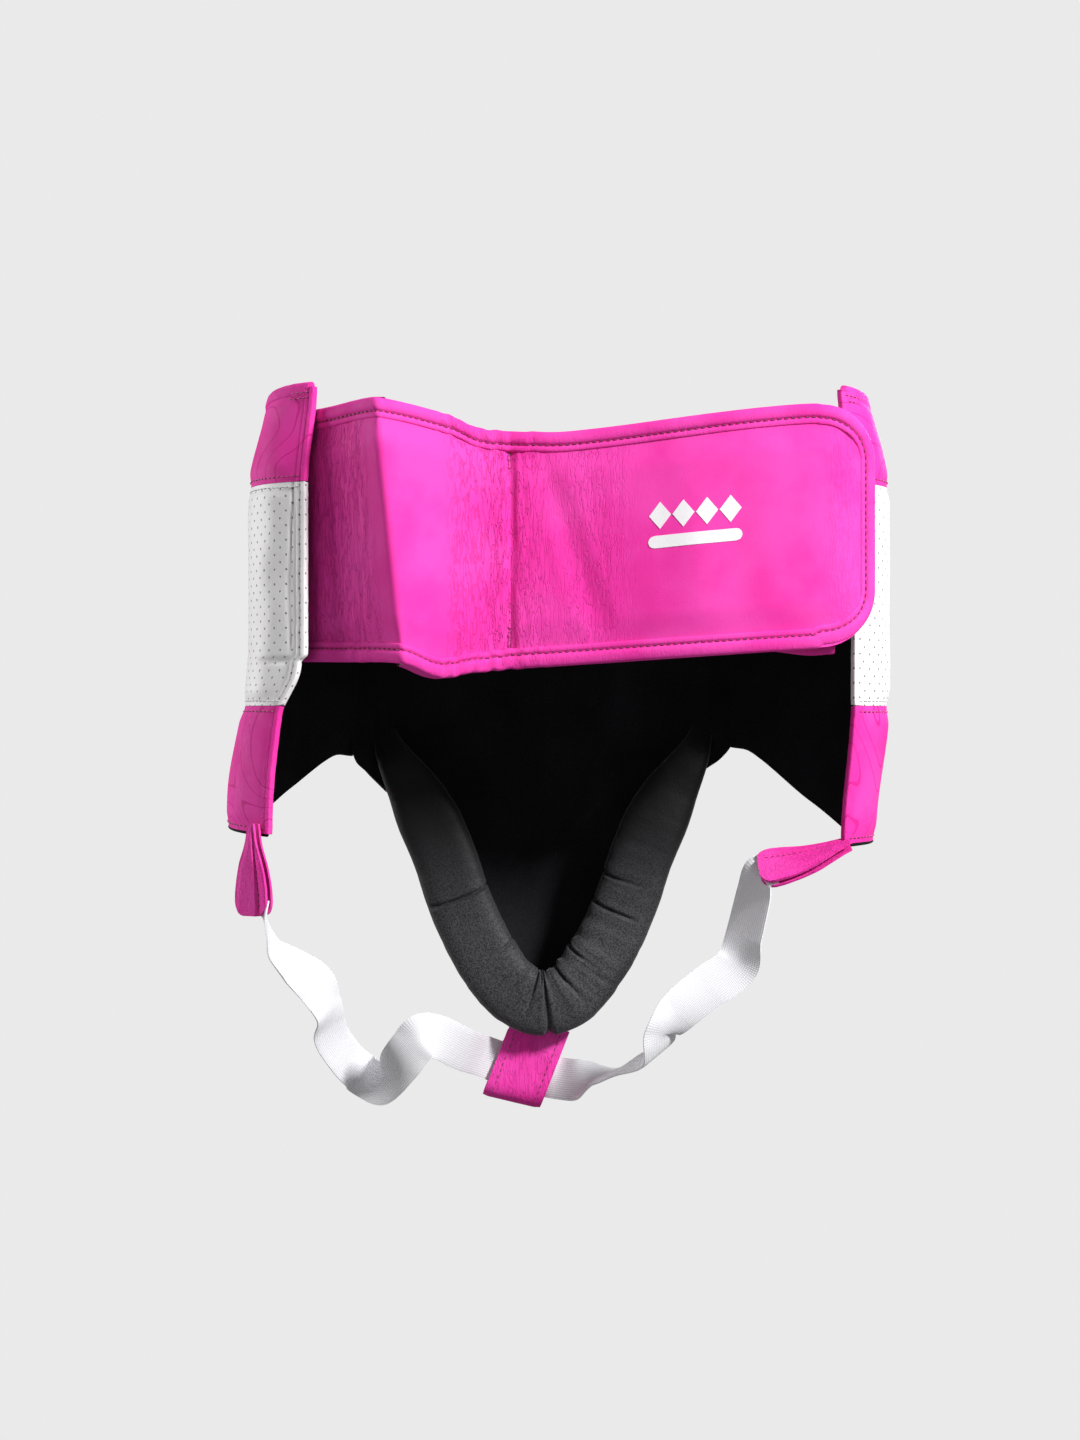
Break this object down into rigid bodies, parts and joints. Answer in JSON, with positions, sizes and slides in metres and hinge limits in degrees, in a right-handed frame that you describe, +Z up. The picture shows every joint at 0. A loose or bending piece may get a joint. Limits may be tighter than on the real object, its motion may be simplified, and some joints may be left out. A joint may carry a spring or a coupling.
{
  "type": "groin protector",
  "caption": "Boxing groin protector: padded front shield with a hard cup and rim roll, hip wings, a padded hook-and-loop belt behind, and an elastic under-strap held by tabs and a snap loop.",
  "frame": {"origin": "centre of the waist ring, half way up the belt", "axes": "+Z up as worn; +Y towards the wearer's front, through the shield; +X to the wearer's right seen from behind"},
  "size_m": [0.3785, 0.188, 0.4251],
  "materials": {
    "pink_leather": "soft semi-gloss grained leather, vivid pink",
    "pink_binding": "folded leather edge binding with a stitch line",
    "white_leather": "white leather with rows of fine perforations",
    "black_lining": "matte fine-woven lining over padding",
    "foam": "closed-cell foam, hidden",
    "cup_plastic": "moulded hard plastic, hidden",
    "white_elastic": "woven ribbed elastic webbing",
    "hook_and_loop": "hook-and-loop tape pile",
    "snap_steel": "plated press stud"
  },
  "bodies": {
    "root": {"belly_leather": "pink_leather", "belly_foam": "foam", "belly_lining": "black_lining", "cup_leather": "pink_leather", "cup_foam": "foam", "cup_shell": "cup_plastic", "cup_lining": "black_lining", "cup_rim_roll": "black_lining", "left_wing_top_leather": "pink_leather", "left_wing_perforated_leather": "white_leather", "left_wing_lower_leather": "pink_leather", "left_wing_foam": "foam", "left_wing_lining": "black_lining", "left_wing_rear_binding": "pink_binding", "left_leg_binding": "black_lining", "right_wing_top_leather": "pink_leather", "right_wing_perforated_leather": "white_leather", "right_wing_lower_leather": "pink_leather", "right_wing_foam": "foam", "right_wing_lining": "black_lining", "right_wing_rear_binding": "pink_binding", "right_leg_binding": "black_lining", "top_binding": "pink_binding", "elastic_left": "white_elastic", "elastic_centre": "white_elastic", "elastic_right": "white_elastic", "loop_rear_leaf": "pink_leather", "loop_tongue": "pink_leather", "snap_stud": "snap_steel"},
    "belt_base": {"belt_base_leather": "pink_leather", "belt_base_foam": "foam", "belt_base_lining": "black_lining", "belt_base_top_binding": "pink_binding", "belt_base_bottom_binding": "pink_binding"},
    "belt_flap": {"belt_flap_leather": "pink_leather", "belt_flap_foam": "foam", "belt_flap_lining": "black_lining", "belt_flap_binding": "pink_binding", "belt_hook_patch": "hook_and_loop"},
    "anchor_strap": {"anchor_loop_panel": "hook_and_loop", "anchor_strap_leather": "pink_leather", "anchor_strap_foam": "foam", "anchor_strap_lining": "black_lining", "anchor_strap_top_binding": "pink_binding", "anchor_strap_bottom_binding": "pink_binding"},
    "left_tab": {"left_tab_outer_leaf": "pink_leather", "left_tab_inner_leaf": "pink_leather"},
    "right_tab": {"right_tab_outer_leaf": "pink_leather", "right_tab_inner_leaf": "pink_leather"},
    "loop_flap": {"loop_front_leaf": "pink_leather", "snap_socket": "snap_steel", "snap_cap": "snap_steel"}
  },
  "joints": [
    {"name": "belt_hinge", "type": "hinge", "parent": "root", "child": "belt_base", "pos_m": [-0.121, -0.058, 0], "axis": [0, 0, -1], "range_deg": [0, 75]},
    {"name": "belt_flap_hinge", "type": "hinge", "parent": "belt_base", "child": "belt_flap", "pos_m": [-0.018, -0.058, 0], "axis": [0, 0, -1], "range_deg": [0, 110]},
    {"name": "anchor_strap_hinge", "type": "hinge", "parent": "root", "child": "anchor_strap", "pos_m": [0.1655, -0.0634, 0], "axis": [0, 0, -1], "range_deg": [0, 35]},
    {"name": "left_tab_hinge", "type": "hinge", "parent": "root", "child": "left_tab", "pos_m": [-0.162, -0.054, -0.171], "axis": [0.7593, -0.6508, 0], "range_deg": [-20, 20], "deforming": ["elastic_left"]},
    {"name": "right_tab_hinge", "type": "hinge", "parent": "root", "child": "right_tab", "pos_m": [0.1655, -0.051, -0.1795], "axis": [0, 0.9487, 0.3162], "range_deg": [-20, 20], "deforming": ["elastic_right"]},
    {"name": "loop_flap_hinge", "type": "hinge", "parent": "root", "child": "loop_flap", "pos_m": [-0.0184, 0.0579, -0.3292], "axis": [-0.9326, 0, 0.361], "range_deg": [0, 120]}
  ]
}
